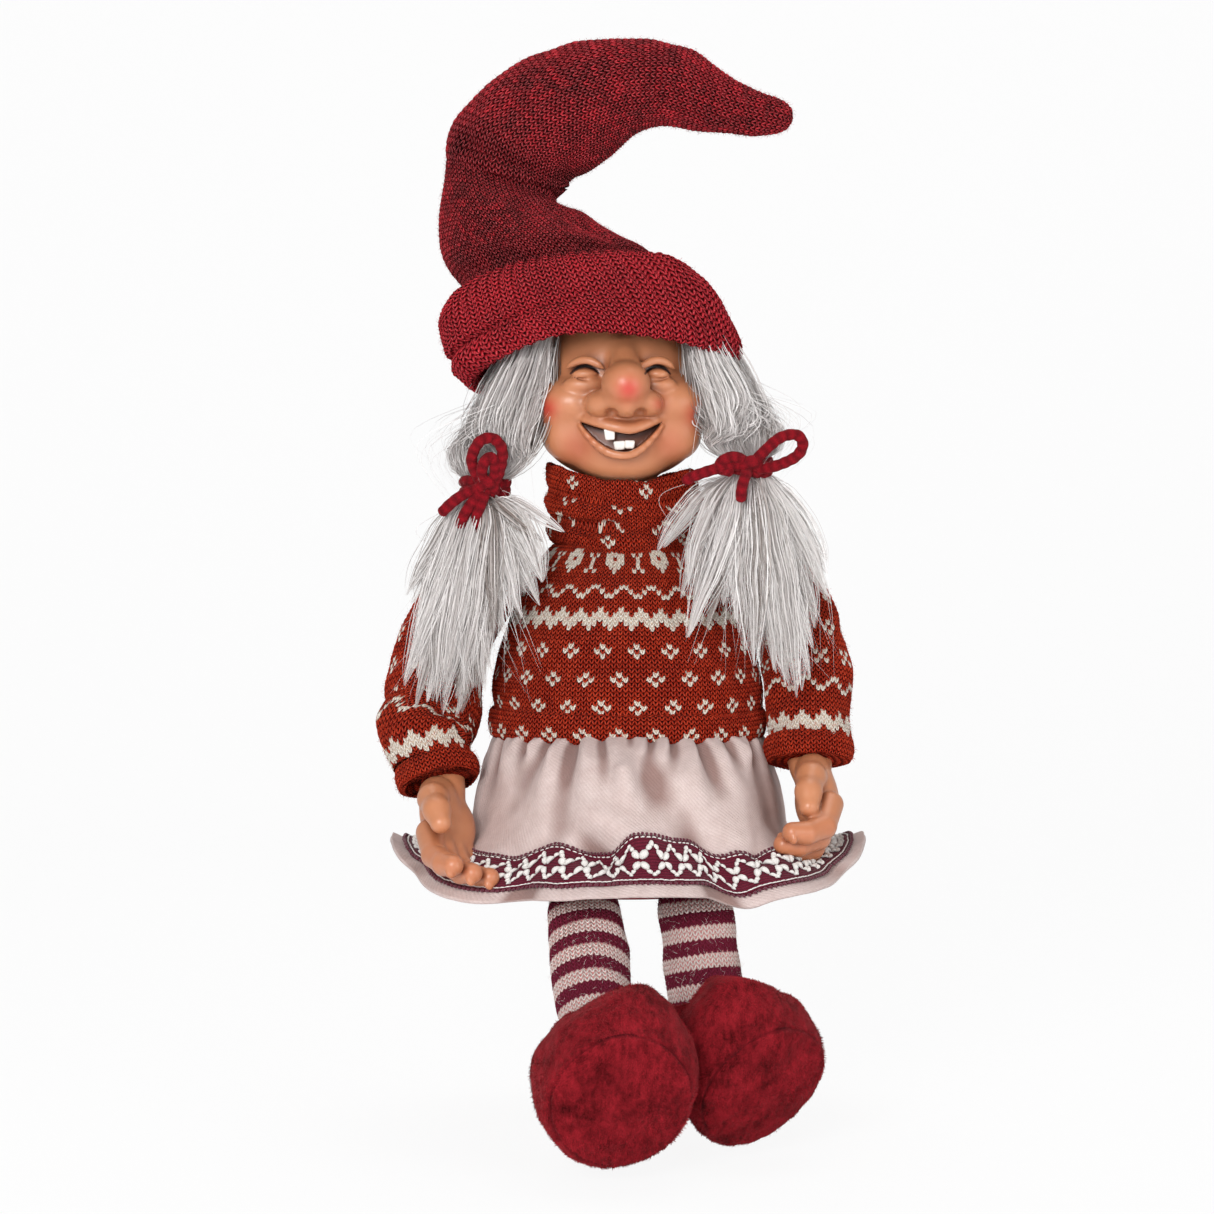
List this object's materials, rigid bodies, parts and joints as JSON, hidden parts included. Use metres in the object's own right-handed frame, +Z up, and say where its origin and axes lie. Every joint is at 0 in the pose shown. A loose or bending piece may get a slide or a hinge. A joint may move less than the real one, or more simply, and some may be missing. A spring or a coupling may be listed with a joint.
{
  "type": "tomte gnome figurine",
  "caption": "Seated folk-craft gnome doll with a bent knitted hat, Nordic sweater, felt skirt and hanging striped legs; it sits on a shelf edge.",
  "frame": {"origin": "centre of the underside of the flat seat panel, which rests on the shelf", "axes": "+Z up through the hat, -Y the front that the doll faces, +X to the right of a viewer in front"},
  "size_m": [0.199, 0.2171, 0.4473],
  "materials": {
    "seat_felt": "plain felt",
    "body_cloth": "plain woven cotton",
    "stuffing": "loose polyester fibre",
    "pellet_cloth": "woven bag filled with plastic pellets",
    "band": "woven elastic and thread",
    "sweater_knit": "stocking stitch in rust red with cream pattern stitches",
    "skirt_felt": "soft pale pink wool felt",
    "ribbon": "woven ribbon with raised white embroidery and picot edges",
    "vinyl": "satin moulded vinyl with painted blush",
    "tooth": "glossy ivory paint",
    "hair": "silver-grey synthetic fibre",
    "hair_tie": "twisted wool yarn",
    "hat_knit": "heathered wine-red stocking stitch",
    "leg_knit": "fine knit with pale pink and burgundy stripes",
    "boot_plush": "short crimson plush"
  },
  "bodies": {
    "torso": {"seat_panel": "seat_felt", "torso_cloth": "body_cloth", "torso_fill": "stuffing", "pellet_bag": "pellet_cloth", "neck_tie": "band", "sweater_body": "sweater_knit", "sweater_hem": "sweater_knit", "sweater_collar": "sweater_knit", "skirt": "skirt_felt", "skirt_ribbon": "ribbon", "waist_elastic": "band"},
    "head": {"head_shell": "vinyl", "upper_tooth": "tooth", "lower_teeth": "tooth", "wig_cap": "body_cloth", "hair_left": "hair", "hair_right": "hair", "hair_back": "hair", "tie_left": "hair_tie", "tie_right": "hair_tie", "pigtail_left": "hair", "pigtail_right": "hair", "hat_crown": "hat_knit", "hat_cuff": "hat_knit", "hat_fill": "stuffing"},
    "hat_tail": {"hat_tail": "hat_knit", "hat_tail_fill": "stuffing"},
    "arm_left": {"sleeve_left": "sweater_knit", "cuff_left": "sweater_knit", "arm_fill_left": "stuffing", "hand_left": "vinyl"},
    "arm_right": {"sleeve_right": "sweater_knit", "cuff_right": "sweater_knit", "arm_fill_right": "stuffing", "hand_right": "vinyl"},
    "leg_left": {"leg_cloth_left": "leg_knit", "leg_fill_left": "stuffing", "boot_upper_left": "boot_plush", "boot_sole_left": "boot_plush", "boot_fill_left": "stuffing"},
    "leg_right": {"leg_cloth_right": "leg_knit", "leg_fill_right": "stuffing", "boot_upper_right": "boot_plush", "boot_sole_right": "boot_plush", "boot_fill_right": "stuffing"}
  },
  "joints": [
    {"name": "head_turn", "type": "hinge", "parent": "torso", "child": "head", "pos_m": [0, 0, 0.155], "axis": [0, 0, 1], "range_deg": [-15, 15], "deforming": ["pigtail_left", "pigtail_right"]},
    {"name": "hat_tail_tilt", "type": "hinge", "parent": "head", "child": "hat_tail", "pos_m": [-0.0759, 0, 0.3032], "axis": [0, -1, 0], "range_deg": [0, 40]},
    {"name": "arm_left_lift", "type": "hinge", "parent": "torso", "child": "arm_left", "pos_m": [-0.0638, 0.002, 0.128], "axis": [0, 1, 0], "range_deg": [0, 70]},
    {"name": "arm_right_lift", "type": "hinge", "parent": "torso", "child": "arm_right", "pos_m": [0.0638, 0.002, 0.128], "axis": [0, -1, 0], "range_deg": [0, 70]},
    {"name": "leg_left_swing", "type": "hinge", "parent": "torso", "child": "leg_left", "pos_m": [-0.019, -0.0486, 0.006], "axis": [0.9516, 0.2855, -0.1142], "range_deg": [-14, 35]},
    {"name": "leg_right_swing", "type": "hinge", "parent": "torso", "child": "leg_right", "pos_m": [0.026, -0.0468, 0.006], "axis": [0.9516, 0.2855, -0.1142], "range_deg": [-35, 8]}
  ]
}
